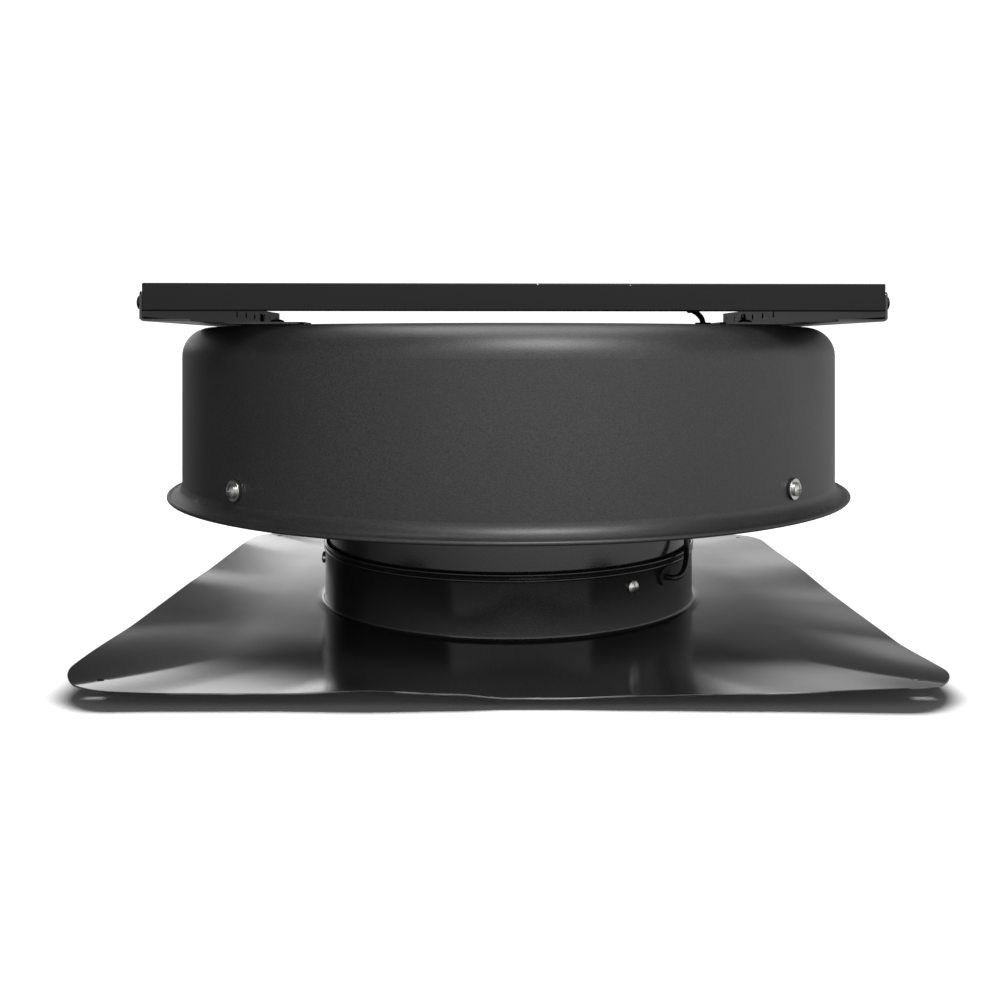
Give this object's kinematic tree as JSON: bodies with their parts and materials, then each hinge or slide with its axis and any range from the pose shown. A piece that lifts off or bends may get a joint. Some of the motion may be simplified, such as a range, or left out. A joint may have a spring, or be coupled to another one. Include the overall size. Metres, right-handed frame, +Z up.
{
  "type": "solar attic fan",
  "caption": "Roof-mounted exhaust fan: a ducted fan wheel on a square flashing, under a spun dome with a flared lip, driven by a tilting solar panel on top.",
  "frame": {"origin": "centre of the flashing's underside, on the roof plane", "axes": "+Z up out of the roof, -Y towards the front where the panel pivots, +X to the right seen from the front"},
  "size_m": [0.5759, 0.576, 0.286],
  "materials": {
    "black_coat": "satin, fine texture",
    "panel_frame": "matt anodised black",
    "zinc": "bright zinc plate",
    "steel": "plain",
    "magnet": "sintered",
    "copper": "enamelled wire",
    "aluminium": "mill finish",
    "rubber": "matt",
    "plastic": "moulded",
    "board": "solder mask",
    "glass": "tempered, low iron",
    "cell": "silicon cell",
    "back_sheet": "laminated film"
  },
  "bodies": {
    "root": {"roof_flashing": "black_coat", "fan_tube": "black_coat", "neck_screws": "zinc", "throat_guard": "black_coat", "motor_bracket": "black_coat", "motor_isolators": "rubber", "motor_screws": "zinc", "motor_housing": "plastic", "motor_end_cap": "aluminium", "motor_bearings": "steel", "motor_stator": "steel", "motor_windings": "copper", "motor_board": "board", "thermal_switch": "plastic", "dome": "black_coat", "dome_struts": "black_coat", "strut_rivets": "aluminium", "dome_screws": "zinc", "dome_washers": "zinc", "dome_seals": "rubber", "dome_nuts": "zinc", "pest_screen": "steel", "bracket_left": "black_coat", "bracket_right": "black_coat", "foot_pads": "rubber", "foot_bolts": "zinc", "foot_washers": "zinc", "foot_nuts": "zinc", "pivot_bolts": "zinc", "pivot_nuts": "zinc", "dome_grommet": "rubber", "neck_grommet": "rubber", "panel_cable": "rubber", "motor_cable": "rubber"},
    "fan": {"motor_shaft": "steel", "rotor_core": "steel", "rotor_magnets": "magnet", "fan_hub": "aluminium", "fan_blades": "aluminium", "blade_rivets": "aluminium", "hub_screw": "steel"},
    "panel": {"panel_rail_front": "panel_frame", "panel_rail_rear": "panel_frame", "panel_rail_left": "panel_frame", "panel_rail_right": "panel_frame", "frame_cleats": "aluminium", "panel_glass": "glass", "solar_cells": "cell", "back_sheet": "back_sheet", "junction_box": "plastic", "junction_lid": "plastic", "junction_gland": "plastic", "cable_clips": "plastic", "stay_bolts": "zinc", "stay_spacers": "zinc", "stay_nuts": "zinc"},
    "stay_left": {"stay_left": "black_coat", "stay_left_foot": "zinc"},
    "stay_right": {"stay_right": "black_coat", "stay_right_foot": "zinc"}
  },
  "joints": [
    {"name": "fan_spin", "type": "hinge", "parent": "root", "child": "fan", "pos_m": [0, 0, 0.1], "axis": [0, 0, 1], "continuous": true},
    {"name": "panel_tilt", "type": "hinge", "parent": "root", "child": "panel", "pos_m": [0.0055, -0.20993, 0.2505], "axis": [0.9997, 0.0262, 0], "range_deg": [0, 42]},
    {"name": "stay_left_swing", "type": "hinge", "parent": "panel", "child": "stay_left", "pos_m": [-0.25439, -0.02667, 0.26245], "axis": [0.9997, 0.0262, 0], "range_deg": [-84, 0]},
    {"name": "stay_right_swing", "type": "hinge", "parent": "panel", "child": "stay_right", "pos_m": [0.25544, -0.01332, 0.26245], "axis": [0.9997, 0.0262, 0], "range_deg": [-84, 0]}
  ],
  "couplings": [
    {"joint": "stay_left_swing", "follows": "panel_tilt", "ratio": -2},
    {"joint": "stay_right_swing", "follows": "panel_tilt", "ratio": -2}
  ]
}
